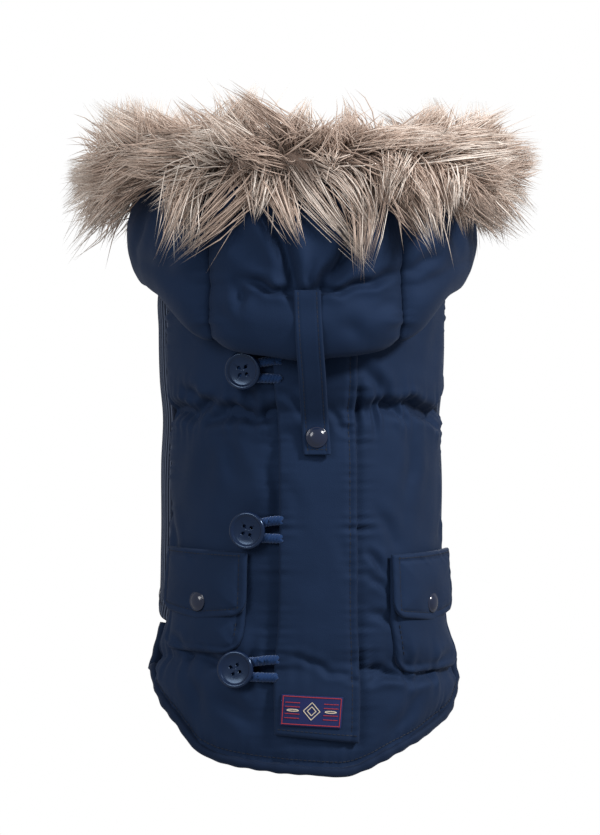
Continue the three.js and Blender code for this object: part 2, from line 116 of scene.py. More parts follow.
# On the hood x is the turn from its middle, times 2.
hoodCreases = table(
    "x0 s0 x1 s1 depth width",
    (-30, 16, -9, -34, 5.0, 4.0), (33, 16, 9, -33, 5.4, 4.0), (-36, -29, -21, -37, 2.6, 3.2),
    (-21, -37, -10, -40, 2.4, 3.0), (7, -37, 19, -38, 2.4, 3.0), (19, -38, 41, -31, 2.4, 3.2),
    (41, -31, 60, -26, 1.8, 3.2), (-43, -30, -41, -48, 1.5, 3.2), (-6, -34, -7, -22, 1.3, 2.2),
    (2, -33, 3, -20, 1.3, 2.2), (8, -32, 13, -20, 1.2, 2.4), (-12, -36, -16, -24, 1.2, 2.4),
    (-50, -2, -34, -12, 1.2, 5.0), (72, -22, 90, -14, 2.0, 3.6), (-80, 2, -96, -14, 1.6, 5.2),
    (96, 6, 116, -6, 1.5, 5.0), (-60, -50, -44, -58, 1.2, 4.6), (44, -50, 60, -46, 1.2, 4.6),
    (20, -58, 34, -64, 1.1, 4.6), (-124, 14, -140, -6, 1.5, 5.0), (138, 12, 152, -6, 1.5, 5.0),
    (-170, 16, -182, -2, 1.3, 5.0), (176, 16, 190, -2, 1.3, 5.0), (-220, 12, -232, -4, 1.2, 5.0),
    (224, 14, 238, -4, 1.2, 5.0), (-276, 12, -290, -2, 1.0, 5.0), (284, 12, 296, -2, 1.0, 5.0),
)


def through(rows, by, name, x):
    knots, values = rows[by], rows[name]
    if knots[-1] < knots[0]:
        knots, values = knots[::-1], values[::-1]
    slopes = np.empty_like(values)
    slopes[1:-1] = (values[2:] - values[:-2]) / (knots[2:] - knots[:-2])
    slopes[0] = (values[1] - values[0]) / (knots[1] - knots[0])
    slopes[-1] = (values[-1] - values[-2]) / (knots[-1] - knots[-2])
    x = np.clip(x, knots[0], knots[-1])
    i = np.clip(np.searchsorted(knots, x, side="right") - 1, 0, len(knots) - 2)
    step = knots[i + 1] - knots[i]
    t = (x - knots[i]) / step
    rise = t * t * (3 - 2 * t)
    return (
        values[i] * (1 - rise) + values[i + 1] * rise
        + t * (1 - t) ** 2 * step * slopes[i] - t * t * (1 - t) * step * slopes[i + 1]
    )


def arcAngle(arc):
    return np.degrees(np.asarray(arc, float) / trunkLook["girthRadius"])


def trunkPoint(angle, s):
    angle, s = np.broadcast_arrays(np.asarray(angle, float), np.asarray(s, float))
    facing = np.cos(np.radians(angle))
    depth = np.where(facing > 0, through(trunkRings, "s", "back", s), through(trunkRings, "s", "belly", s))
    height = s - through(trunkRings, "s", "drop", s) * (1 - facing) / 2
    wide = through(trunkRings, "s", "halfWidth", s) * np.sin(np.radians(angle))
    return np.stack([wide, -depth * facing, height], -1)


def unit(v):
    return v / np.maximum(np.linalg.norm(v, axis=-1, keepdims=True), 1e-9)


def trunkOut(angle, s):
    angle, s = np.broadcast_arrays(np.asarray(angle, float), np.asarray(s, float))
    low = np.minimum(s + 0.5, 0)
    aroundIt = trunkPoint(angle + 0.5, s) - trunkPoint(angle - 0.5, s)
    return unit(np.cross(unit(aroundIt), unit(trunkPoint(angle, low) - trunkPoint(angle, s - 0.5))))


def trunkMoved(angle, s, distance):
    return trunkPoint(angle, s) + trunkOut(angle, s) * np.asarray(distance)[..., None]


def creased(rows, x, s):
    total = np.zeros(np.broadcast(x, s).shape)
    for x0, s0, x1, s1, depth, width in zip(*(rows[k] for k in ("x0", "s0", "x1", "s1", "depth", "width"))):
        run = math.hypot(x1 - x0, s1 - s0)
        ux, us = (x1 - x0) / run, (s1 - s0) / run
        along = (x - x0) * ux + (s - s0) * us
        middle = np.sin(np.pi * np.clip(along / run, 0, 1))
        off = (x - x0) * -us + (s - s0) * ux - 0.10 * run * middle
        past = np.maximum(0, np.maximum(-along, along - run))
        fade = np.exp(-((past / (width * 1.5)) ** 2)) * (0.55 + 0.45 * middle)
        total -= depth * fade * np.exp(-((off / width) ** 2))
        total += 0.42 * depth * fade * np.exp(-(((np.abs(off) - 2.1 * width) / (1.2 * width)) ** 2))
    return total


# Small uneven gathers that run away from a seam; x is along the seam and away is the distance to it.
def gathers(x, away, depth, reach, seed):
    pick = np.random.default_rng(seed)
    wave = np.zeros_like(x)
    for k in range(7):
        length = pick.uniform(5.5, 19)
        tall = pick.uniform(0.5, 1)
        wave += tall * np.sin(2 * np.pi * (x / length + pick.uniform()) + 1.7 * np.sin(x / 23 + k))
    patches = 0.45 + 0.55 * np.sin(x / 17 + seed) * np.sin(x / 7.3 + 2 * seed)
    return depth * 0.32 * wave * np.clip(patches, 0.15, 1) * np.exp(-((away / reach) ** 2))


def softNoise(x, s, seed, size):
    pick = np.random.default_rng(seed)
    total = np.zeros(np.broadcast(x, s).shape)
    for _ in range(6):
        way = pick.uniform(0, 2 * np.pi)
        wave = pick.uniform(0.7, 1.6) * size
        run = x * math.cos(way) + s * math.sin(way)
        total = total + np.sin(2 * np.pi * run / wave + pick.uniform(0, 6.3))
    return total / 6


def inScene(name, data):
    made = bpy.data.objects.new(name, data)
    bpy.context.scene.collection.objects.link(made)
    return made


def shown(name, mesh, material, node):
    mesh.materials.clear()
    mesh.materials.append(material)
    piece = inScene(name, mesh)
    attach(piece, "root")
    if node:
        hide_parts(node)
    return piece


# A mesh whose faces are turned to point outwards.
def meshOf(name, points, faces):
    faces = np.asarray(faces)
    a, b, c = points[faces[:, 0]], points[faces[:, 1]], points[faces[:, 2]]
    volume = np.einsum("ij,ij->", a, np.cross(b, c))
    if faces.shape[1] == 4:
        volume += np.einsum("ij,ij->", a, np.cross(c, points[faces[:, 3]]))
    if volume < 0:
        faces = faces[:, ::-1]
    mesh = bpy.data.meshes.new(name)
    mesh.vertices.add(len(points))
    mesh.vertices.foreach_set("co", (points * mm).ravel())
    mesh.loops.add(faces.size)
    mesh.loops.foreach_set("vertex_index", faces.ravel())
    mesh.polygons.add(len(faces))
    mesh.polygons.foreach_set("loop_start", np.arange(0, faces.size, faces.shape[1]))
    mesh.update(calc_edges=True)
    mesh.shade_smooth()
    return mesh


# A mesh that takes its faces as given.
def givenMesh(name, points, faces):
    mesh = bpy.data.meshes.new(name)
    mesh.from_pydata((points * mm).tolist(), [], faces)
    mesh.update()
    mesh.shade_smooth()
    return mesh


# Four-cornered faces between neighbouring rings of a grid of points, closed round each ring.
def ringFaces(rows, cols):
    number = np.arange(rows * cols).reshape(rows, cols)
    turned = np.roll(number, -1, 1)
    return number, np.stack([number[:-1], turned[:-1], turned[1:], number[1:]], -1).reshape(-1, 4)


# A closed wall between two grids of points.
def wallMesh(name, outer, inner):
    rows, cols = outer.shape[:2]
    points = np.concatenate([outer.reshape(-1, 3), inner.reshape(-1, 3)])
    number = np.arange(rows * cols).reshape(rows, cols)
    under = number + rows * cols
    faces = [
        np.stack([g[:-1, :-1], g[1:, :-1], g[1:, 1:], g[:-1, 1:]], -1).reshape(-1, 4)
        for g in (number, under[:, ::-1])
    ]
    edges = [number[:, 0], number[-1, :], number[::-1, -1], number[0, ::-1]]
    for edge in edges:
        low = edge + rows * cols
        faces.append(np.stack([edge[:-1], low[:-1], low[1:], edge[1:]], -1))
    return meshOf(name, points, np.concatenate(faces))


# A closed tube along a path, with a radius at each step.
def tubeMesh(name, path, radius, sides=10):
    path = np.asarray(path, float)
    way = unit(np.gradient(path, axis=0))
    up = np.array([0.31, -0.2, 0.93])
    side = unit(np.cross(way, up))
    lift = np.cross(side, way)
    around = np.linspace(0, 2 * np.pi, sides, endpoint=False)
    radius = np.broadcast_to(radius, len(path))[:, None, None]
    ring = side[:, None] * np.cos(around)[:, None] + lift[:, None] * np.sin(around)[:, None]
    points = (path[:, None] + ring * radius).reshape(-1, 3)
    number, quads = ringFaces(len(path), sides)
    ends = (number[0], number[-1][::-1])
    caps = [[end[0], end[k + 2], end[k + 1]] for end in ends for k in range(sides - 2)]
    return givenMesh(name, points, quads.tolist() + caps)


# Shared shader groups give colours, values and normals only.
def shaderGroup(name, inputs, outputs):
    tree = bpy.data.node_groups.new(name, "ShaderNodeTree")
    for label, kind in inputs:
        tree.interface.new_socket(label, in_out="INPUT", socket_type=kind)
    for label, kind in outputs:
        tree.interface.new_socket(label, in_out="OUTPUT", socket_type=kind)
    return tree, tree.nodes.new("NodeGroupInput"), tree.nodes.new("NodeGroupOutput")


def weaveGroup():
    tree, given, made = shaderGroup(
        "fineWeave",
        [("Coordinates", "NodeSocketVector"), ("Fineness", "NodeSocketFloat"), ("Depth", "NodeSocketFloat")],
        [("Normal", "NodeSocketVector")],
    )
    add, link = tree.nodes.new, tree.links.new
    grain = add("ShaderNodeTexNoise")
    grain.inputs["Detail"].default_value = 3
    soft = add("ShaderNodeTexNoise")
    soft.inputs["Scale"].default_value = 55
    mixed = add("ShaderNodeMath")
    mixed.operation = "MULTIPLY_ADD"
    mixed.inputs[1].default_value = 3.0
    bump = add("ShaderNodeBump")
    bump.inputs["Distance"].default_value = 0.0004
    link(given.outputs["Coordinates"], grain.inputs["Vector"])
    link(given.outputs["Fineness"], grain.inputs["Scale"])
    link(given.outputs["Coordinates"], soft.inputs["Vector"])
    link(soft.outputs["Fac"], mixed.inputs[0])
    link(grain.outputs["Fac"], mixed.inputs[2])
    link(mixed.outputs["Value"], bump.inputs["Height"])
    link(given.outputs["Depth"], bump.inputs["Strength"])
    link(bump.outputs["Normal"], made.inputs["Normal"])
    return tree


def toneGroup():
    tree, given, made = shaderGroup(
        "unevenTone",
        [("Coordinates", "NodeSocketVector"), ("Colour", "NodeSocketColor"), ("Scale", "NodeSocketFloat"),
         ("Spread", "NodeSocketFloat")],
        [("Colour", "NodeSocketColor")],
    )
    add, link = tree.nodes.new, tree.links.new
    noise = add("ShaderNodeTexNoise")
    noise.inputs["Detail"].default_value = 4
    centred = add("ShaderNodeMath")
    centred.operation = "SUBTRACT"
    centred.inputs[1].default_value = 0.5
    scaled = add("ShaderNodeMath")
    scaled.operation = "MULTIPLY_ADD"
    scaled.inputs[2].default_value = 1.0
    toned = add("ShaderNodeHueSaturation")
    link(given.outputs["Coordinates"], noise.inputs["Vector"])
    link(given.outputs["Scale"], noise.inputs["Scale"])
    link(noise.outputs["Fac"], centred.inputs[0])
    link(centred.outputs["Value"], scaled.inputs[0])
    link(given.outputs["Spread"], scaled.inputs[1])
    link(scaled.outputs["Value"], toned.inputs["Value"])
    link(given.outputs["Colour"], toned.inputs["Color"])
    link(toned.outputs["Color"], made.inputs["Colour"])
    return tree


weave, tone = weaveGroup(), toneGroup()


def material(name, colour, roughness=0.6, sheen=0.0, specular=0.4, tint=(1, 1, 1)):
    made = bpy.data.materials.new(name)
    made.use_nodes = True
    finish = made.node_tree.nodes["Principled BSDF"]
    finish.inputs["Base Color"].default_value = (*colour, 1)
    finish.inputs["Roughness"].default_value = roughness
    finish.inputs["Sheen Weight"].default_value = sheen
    finish.inputs["Sheen Tint"].default_value = (0.55, 0.68, 1, 1)
    finish.inputs["Specular IOR Level"].default_value = specular
    finish.inputs["Specular Tint"].default_value = (*tint, 1)
    return made


def cloth(name, colour, roughness=0.7, sheen=0.04, spread=0.5, fineness=2200, depth=0.45):
    made = material(name, colour, roughness, sheen, 0.3, (0.28, 0.48, 1.0))
    nodes, link = made.node_tree.nodes, made.node_tree.links.new
    place = nodes.new("ShaderNodeTexCoord")
    threads = nodes.new("ShaderNodeGroup")
    threads.node_tree = weave
    threads.inputs["Fineness"].default_value = fineness
    threads.inputs["Depth"].default_value = depth
    toned = nodes.new("ShaderNodeGroup")
    toned.node_tree = tone
    toned.inputs["Colour"].default_value = (*colour, 1)
    toned.inputs["Scale"].default_value = 26
    toned.inputs["Spread"].default_value = spread
    finish = nodes["Principled BSDF"]
    link(place.outputs["Object"], threads.inputs["Coordinates"])
    link(place.outputs["Object"], toned.inputs["Coordinates"])
    link(threads.outputs["Normal"], finish.inputs["Normal"])
    link(toned.outputs["Colour"], finish.inputs["Base Color"])
    return made


def ribbed(name, colour):
    made = material(name, colour, 0.85, 0.2, 0.2)
    nodes, link = made.node_tree.nodes, made.node_tree.links.new
    place = nodes.new("ShaderNodeAttribute")
    place.attribute_name = "ribShare"
    wave = nodes.new("ShaderNodeMath")
    wave.operation = "SINE"
    bump = nodes.new("ShaderNodeBump")
    bump.inputs["Strength"].default_value = 0.8
    bump.inputs["Distance"].default_value = 0.0008
    finish = nodes["Principled BSDF"]
    link(place.outputs["Fac"], wave.inputs[0])
    link(wave.outputs["Value"], bump.inputs["Height"])
    link(bump.outputs["Normal"], finish.inputs["Normal"])
    return made


navyCloth = cloth("navyCloth", colours["navy"])
trimCloth = cloth("trimCloth", colours["navy"], roughness=0.72)
bindingCloth = cloth("bindingCloth", colours["binding"], roughness=0.7, sheen=0.1)
ribKnit = ribbed("ribKnit", colours["rib"])
glossPlastic = material("glossPlastic", colours["gloss"], 0.16, 0, 0.6)
buttonPlastic = material("buttonPlastic", colours["gloss"], 0.2, 0, 0.5, (0.5, 0.7, 1))
cordYarn = cloth("cordYarn", colours["cord"], roughness=0.8, sheen=0.3, fineness=3000)
seamThread = material("seamThread", colours["thread"], 0.7)
labelWeave = cloth("labelWeave", colours["label"], roughness=0.75, sheen=0.1)
redThread = material("redThread", colours["red"], 0.75)
ecruThread = material("ecruThread", colours["ecru"], 0.75)


# Stitches: small capsules laid along every edge of a polyline mesh.
def stitchTree():
    tree = bpy.data.node_groups.new("stitchRow", "GeometryNodeTree")
    face = tree.interface
    face.new_socket("Geometry", in_out="INPUT", socket_type="NodeSocketGeometry")
    sockets = {}
    for label, kind in (("Pitch", "NodeSocketFloat"), ("Length", "NodeSocketFloat"),
                        ("Radius", "NodeSocketFloat"), ("Thread", "NodeSocketMaterial")):
        sockets[label] = face.new_socket(label, in_out="INPUT", socket_type=kind).identifier
    face.new_socket("Geometry", in_out="OUTPUT", socket_type="NodeSocketGeometry")
    add, link = tree.nodes.new, tree.links.new
    given, made = add("NodeGroupInput"), add("NodeGroupOutput")
    line = add("GeometryNodeMeshToCurve")
    spaced = add("GeometryNodeResampleCurve")
    spaced.mode = "LENGTH"
    tangent = add("GeometryNodeInputTangent")
    turned = add("FunctionNodeAlignRotationToVector")
    turned.axis = "Z"
    rod = add("GeometryNodeMeshCylinder")
    rod.inputs["Vertices"].default_value = 6
    placed = add("GeometryNodeInstanceOnPoints")
    real = add("GeometryNodeRealizeInstances")
    painted = add("GeometryNodeSetMaterial")
    link(given.outputs["Geometry"], line.inputs["Mesh"])
    link(line.outputs["Curve"], spaced.inputs["Curve"])
    link(given.outputs["Pitch"], spaced.inputs["Length"])
    link(given.outputs["Length"], rod.inputs["Depth"])
    link(given.outputs["Radius"], rod.inputs["Radius"])
    link(tangent.outputs["Tangent"], turned.inputs["Vector"])
    link(spaced.outputs["Curve"], placed.inputs["Points"])
    link(rod.outputs["Mesh"], placed.inputs["Instance"])
    link(turned.outputs["Rotation"], placed.inputs["Rotation"])
    link(placed.outputs["Instances"], real.inputs["Geometry"])
    link(real.outputs["Geometry"], painted.inputs["Geometry"])
    link(given.outputs["Thread"], painted.inputs["Material"])
    link(painted.outputs["Geometry"], made.inputs["Geometry"])
    return tree, sockets


stitchRow, stitchSockets = stitchTree()


def stitches(name, routes, thread=seamThread, pitch=None, radius=None, length=None):
    points, edges = [], []
    for route in routes:
        start = len(points)
        points += (np.asarray(route) * mm).tolist()
        edges += [(start + k, start + k + 1) for k in range(len(route) - 1)]
    mesh = bpy.data.meshes.new(name)
    mesh.from_pydata(points, edges, [])
    piece = inScene(name, mesh)
    rows = piece.modifiers.new("rows", "NODES")
    rows.node_group = stitchRow
    rows[stitchSockets["Pitch"]] = (pitch or stitchLook["pitch"]) * mm
    rows[stitchSockets["Length"]] = (length or stitchLook["length"]) * mm
    rows[stitchSockets["Radius"]] = (radius or stitchLook["radius"]) * mm
    rows[stitchSockets["Thread"]] = thread
    solved = piece.evaluated_get(bpy.context.evaluated_depsgraph_get())
    made = bpy.data.meshes.new_from_object(solved)
    made.name = name
    piece.modifiers.clear()
    piece.data = made
    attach(piece, "root")


print("back")
quiltSeams = [{"s": -113.5, "tilt": 0.012, "depth": 3.9}, {"s": -277, "tilt": -0.03, "depth": 3.2}]


def seamHeight(seam, x):
    return seam["s"] + seam["tilt"] * x + 1.6 * np.sin(x / 21) + 1.0 * np.sin(x / 9.5 + 1)


# How far the padded back stands out from its smooth form.
def backRelief(x, s):
    edgeArc = math.radians(trunkLook["seamAngle"]) * trunkLook["girthRadius"]
    relief = np.zeros(np.broadcast(x, s).shape)
    for k, seam in enumerate(quiltSeams):
        away = s - seamHeight(seam, x)
        relief -= seam["depth"] * np.exp(-((away / 5.5) ** 2))
        relief += 1.3 * np.exp(-(((np.abs(away) - 15) / 11) ** 2))
        relief += gathers(x, away, 3.0, 14, 3 + 5 * k)
    sideAway = np.abs(np.abs(x) - edgeArc)
    relief -= 2.4 * np.exp(-((sideAway / 5) ** 2))
    relief += gathers(s, sideAway, 2.2, 13, 17)
    plackAway = np.minimum(np.abs(x + 28.5), np.abs(x - 23.5))
    relief -= 1.2 * np.exp(-((plackAway / 4.5) ** 2))
    relief += gathers(s * 1.1, plackAway, 1.7, 11, 29)
    under = through(tailEdge, "angle", "s", arcAngle(x)) + 8
    relief -= 1.6 * np.exp(-(((s - under) / 5) ** 2))
    relief += gathers(x, s - under, 1.0, 9, 31)
    relief += 1.6 * softNoise(x, s, 7, 62) + 0.8 * softNoise(x, s, 8, 26)
    return relief + 1.9 * creased(backCreases, x, s)


def backFoot(angle):
    slope = (through(tailEdge, "angle", "s", angle + 1) - through(tailEdge, "angle", "s", angle - 1)) / (
        2 * math.radians(1) * trunkLook["girthRadius"])
    return through(tailEdge, "angle", "s", angle) + 3 + 0.8 * np.hypot(1, slope)


def backMesh():
    edge = trunkLook["seamAngle"] + 0.5
    angle = np.linspace(-edge, edge, trunkLook["across"])[:, None]
    share = np.linspace(0, 1, trunkLook["along"])[None, :]
    s = share * backFoot(angle)
    angle = np.broadcast_to(angle, s.shape)
    x = np.radians(angle) * trunkLook["girthRadius"]
    outer = trunkMoved(angle, s, backRelief(x, s) * np.clip(-s / 20, 0, 1) - 0.3)
    inner = trunkMoved(angle, s, np.full(s.shape, -float(trunkLook["wall"])))
    return wallMesh("backPanel", outer, inner)


back = shown("backPanel", backMesh(), navyCloth, "back_panel")


def onBack(x, s, lift):
    x, s = np.asarray(x, float), np.asarray(s, float)
    return trunkMoved(arcAngle(x), s, backRelief(x, s) * np.clip(-s / 20, 0, 1) + lift)


print("belly")
bellyLook = {"across": 160, "along": 96, "wall": 3, "ribPitch": 2.6, "girthRadius": 88}
legHole = {"turn": 38, "s": -80, "across": 21, "along": 25, "radius": 89}


def bellyMesh():
    edge = trunkLook["seamAngle"] - 1.5
    angle = np.linspace(edge, 360 - edge, bellyLook["across"])[:, None]
    share = np.linspace(0, 1, bellyLook["along"])[None, :]
    s = share * through(bellyEdge, "angle", "s", angle)
    angle = np.broadcast_to(angle, s.shape)
    keep = np.ones(s.shape, bool)
    # The points inside a leg hole move out onto its rim, and the faces left inside it are dropped.
    for hand in (-1, 1):
        across = np.radians(angle - 180 - hand * legHole["turn"]) * legHole["radius"]
        along = s - legHole["s"]
        reach = np.maximum(np.hypot(across / legHole["across"], along / legHole["along"]), 0.02)
        inside = reach < 1
        keep &= ~inside
        angle = np.where(inside, angle + np.degrees(across * (1 / reach - 1) / legHole["radius"]), angle)
        s = np.where(inside, s + along * (1 / reach - 1), s)
    x = np.radians(angle - 180) * bellyLook["girthRadius"]
    drop = 0.5 * softNoise(x, s, 11, 55) - 2.6 * np.exp(-(((np.abs(x) - 155) / 5) ** 2))
    hem = np.exp(-(((s - through(bellyEdge, "angle", "s", angle) - 3.5) / 3) ** 2))
    outer = trunkMoved(angle, s, drop + 0.5 * hem)
    inner = trunkMoved(angle, s, drop - bellyLook["wall"])
    return outer, inner, keep, x


def bellyHems():
    routes = []
    around = np.radians(np.linspace(0, 360, 90))
    for hand in (-1, 1):
        across = 1.2 * legHole["across"] * np.cos(around)
        turn = 180 + hand * legHole["turn"] + np.degrees(across / legHole["radius"])
        height = legHole["s"] + 1.17 * legHole["along"] * np.sin(around)
        routes.append(trunkMoved(turn, height, np.full(90, 0.3)))
    turn = np.linspace(84, 276, 160)
    routes.append(trunkMoved(turn, through(bellyEdge, "angle", "s", turn) + 8, np.full(160, 0.4)))
    stitches("bellyStitches", routes)


def bellyPiece():
    outer, inner, keep, x = bellyMesh()
    rows, cols = keep.shape
    number = np.arange(rows * cols).reshape(rows, cols)
    under = number + rows * cols
    inside = ~(keep[:-1, :-1] | keep[1:, :-1] | keep[1:, 1:] | keep[:-1, 1:])
    quads = np.stack([number[:-1, :-1], number[1:, :-1], number[1:, 1:], number[:-1, 1:]], -1)[~inside]
    count = {}
    for quad in quads.tolist():
        for k in range(4):
            a, b = quad[k], quad[(k + 1) % 4]
            if (b, a) in count:
                del count[(b, a)]
            else:
                count[(a, b)] = True
    rim = np.array([[a, b, b + rows * cols, a + rows * cols] for a, b in count])
    faces = np.concatenate([quads[:, ::-1], quads + rows * cols, rim])
    points = np.concatenate([outer.reshape(-1, 3), inner.reshape(-1, 3)])
    used = np.unique(faces)
    renumber = np.zeros(len(points), int)
    renumber[used] = np.arange(len(used))
    mesh = meshOf("bellyPanel", points[used], renumber[faces])
    ribs = mesh.attributes.new("ribShare", "FLOAT", "POINT")
    spread = np.concatenate([x.ravel(), x.ravel()])[used]
    ribs.data.foreach_set("value", spread * 2 * np.pi / bellyLook["ribPitch"])
    return mesh


belly = shown("bellyPanel", bellyPiece(), ribKnit, "belly_panel")
bellyHems()


print("hood")


def splineRoute(points, share):
    last = len(points) - 1
    ends = np.vstack([2 * points[0] - points[1], points, 2 * points[-1] - points[-2]])
    place = share * last
    i = np.minimum(place.astype(int), last - 1)
    w = (place - i)[:, None]
    p = [ends[i + k] for k in range(4)]
    d = [np.maximum(np.linalg.norm(p[k + 1] - p[k], axis=1) ** 0.5, 1e-4)[:, None] for k in range(3)]
    leave = ((p[1] - p[0]) / d[0] - (p[2] - p[0]) / (d[0] + d[1]) + (p[2] - p[1]) / d[1]) * d[1]
    reach = ((p[2] - p[1]) / d[1] - (p[3] - p[1]) / (d[1] + d[2]) + (p[3] - p[2]) / d[2]) * d[1]
    c2 = -3 * p[1] + 3 * p[2] - 2 * leave - reach
    c3 = 2 * p[1] - 2 * p[2] + leave + reach
    return p[1] + leave * w + c2 * w**2 + c3 * w**3


def hoodRoute(turn, share):
    here = abs(turn)
    at = {name: float(through(hoodSections, "turn", name, here)) for name in hoodSections}
    side = turn + hoodLook["turn"]
    start = -trunkRings["drop"][0] * (1 - math.cos(math.radians(side))) / 2 + 0.4
    stand = start + 6
    base = at["low"] + at["lip"]
    lain = [trunkMoved(side, base * k, at["lie"]) for k in (0.25, 0.6)]
    pouch = np.array([
        (hoodLook["seamRadius"], stand), (hoodLook["seamRadius"] + 9, stand + 4),
        *[(math.hypot(p[0], p[1]), p[2]) for p in lain],
        (at["tuck"], base), ((at["tuck"] + at["out"]) / 2, at["low"]), (at["out"], base),
        (at["waist"], at["low"] * 0.5), (at["bulge"], at["low"] * 0.18), (at["rim"], at["height"]),
    ])
    plain = np.linspace((hoodLook["seamRadius"], stand), (at["rim"], at["height"]), len(pouch))
    points = plain + (pouch - plain) * at["fold"]
    points = np.vstack([(hoodLook["seamRadius"], start), points])
    return splineRoute(points, share)


def hoodRelief(x, z, outside, fromSeam):
    relief = hoodLook["puff"] * (1 - np.exp(-((fromSeam / 11) ** 2))) - 2.2 * np.exp(-((fromSeam / 3.4) ** 2))
    relief += gathers(z * 1.2, fromSeam, 2.0, 11, 43)
    relief += 1.3 * softNoise(x, z, 47, 58) + 0.6 * softNoise(x, z, 48, 24)
    relief += 1.5 * creased(hoodCreases, x, z)
    return relief * outside


def hoodPanel(name, node, start, end, across):
    share = np.linspace(0, 1, hoodLook["along"])
    turns = np.linspace(start, end, across)
    outer = np.zeros((across, len(share), 3))
    inner = np.zeros_like(outer)
    half = hoodLook["wall"] / 2
    for i, turn in enumerate(turns):
        middle = hoodRoute(turn, share)
        way = unit(np.gradient(middle, axis=0))
        normal = np.stack([way[:, 1], -way[:, 0]], -1)
        outside = np.clip((share - 0.48) / 0.14, 0, 1) * np.clip((1 - share) / 0.06, 0, 1)
        fold = float(through(hoodSections, "turn", "fold", abs(turn)))
        outside = outside * fold + np.clip(np.minimum(share, 1 - share) / 0.12, 0, 1) * (1 - fold)
        near = min(abs(abs(turn) - hoodLook["seamTurn"]) * 2.0, abs(abs(turn) - 180) * 1.4)
        fromSeam = np.full(len(share), near)
        relief = hoodRelief(np.full(len(share), turn * 2.0), middle[:, 1], outside, fromSeam)
        side = math.radians(turn + hoodLook["turn"])
        radial = np.array([math.sin(side), -math.cos(side)])
        for target, offset in ((outer, half + relief), (inner, np.full(len(share), -half))):
            flat = middle + normal * offset[:, None]
            target[i, :, :2] = flat[:, :1] * radial
            target[i, :, 2] = flat[:, 1]
    panel = shown(name, wallMesh(name, outer, inner), navyCloth, node)


seamGap = math.degrees(0.2 / 118)
seamTurn = hoodLook["seamTurn"]
hoodPanel("hoodLeft", "hood_left", -180 + 2 * seamGap, -seamTurn - seamGap, 92)
hoodPanel("hoodCentre", "hood_centre", -seamTurn + seamGap, seamTurn - seamGap, 80)
hoodPanel("hoodRight", "hood_right", seamTurn + seamGap, 180 - 2 * seamGap, 92)

print("placket, pockets and binding")
plack = {"left": -27.5, "right": 22.5, "top": -36, "bottomLeft": -320, "bottomRight": -326, "wall": 3}


def plackRelief(x, s):
    relief = 1.3 * creased(plackCreases, x, s) + 0.6 * softNoise(x, s, 51, 36)
    rightAway, leftAway = plack["right"] - x, x - plack["left"]
    relief -= 1.1 * np.exp(-(((rightAway - 5) / 1.6) ** 2))
    relief += gathers(s, rightAway - 5, 0.7, 5, 53) + gathers(s, leftAway - 2, 0.5, 4, 57)
    return relief


def onPlacket(x, s, lift):
    x, s = np.asarray(x, float), np.asarray(s, float)
    return trunkMoved(arcAngle(x), s, plackBase(x, s) + plackRelief(x, s) + lift)


def plackBase(x, s):
    return 0.35 * backRelief(x, s) + 0.9 + plack["wall"]


def plackMesh():
    x = np.linspace(plack["left"], plack["right"], 48)[:, None]
    foot = plack["bottomLeft"] + (plack["bottomRight"] - plack["bottomLeft"]) * np.linspace(0, 1, 48)[:, None]
    share = np.linspace(0, 1, 230)[None, :]
    s = plack["top"] + (foot - plack["top"]) * share
    x = np.broadcast_to(x, s.shape) + 1.2 * np.exp(-(((s + 80) / 30) ** 2)) * (x < -20) * -3
    edge = np.clip(np.minimum(np.minimum(x - x[:1], x[-1:] - x), (s - foot)) / 2.2, 0, 1)
    rounding = 1.3 * (1 - np.sqrt(1 - (1 - edge) ** 2))
    outer = onPlacket(x, s, -rounding)
    inner = trunkMoved(arcAngle(x), s, 0.35 * backRelief(x, s) - 1.2)
    return wallMesh("placketStrip", outer, inner)


placket = shown("placketStrip", plackMesh(), trimCloth, "placket")

pocketLook = {
    "left": {"angle": -50.5, "halfWidth": 33, "top": -204, "bottom": -268, "puff": 2.2},
    "right": {"angle": 50, "halfWidth": 34, "top": -206, "bottom": -281, "puff": 2.6},
}
flapLook = {"halfWidth": 35, "above": 2, "drop": 43, "point": 5, "corner": 9, "lift": 5.5, "snapUp": 12}


def cornerLift(u, halfWidth, corner):
    past = np.clip(np.abs(u) * halfWidth - (halfWidth - corner), 0, None) / corner
    return corner * (1 - np.sqrt(np.clip(1 - past * past, 0, None)))


def softEdge(u, v, halfWidth, length, openTop):
    side = (1 - np.abs(u)) * halfWidth
    foot = (1 - v) * length
    top = np.full(foot.shape, 99.0) if openTop else v * length
    near = np.minimum(np.minimum(side, foot), top)
    edge = np.clip(near / 2.0, 0, 1)
    return near, 1.2 * (1 - np.sqrt(1 - (1 - edge) ** 2))


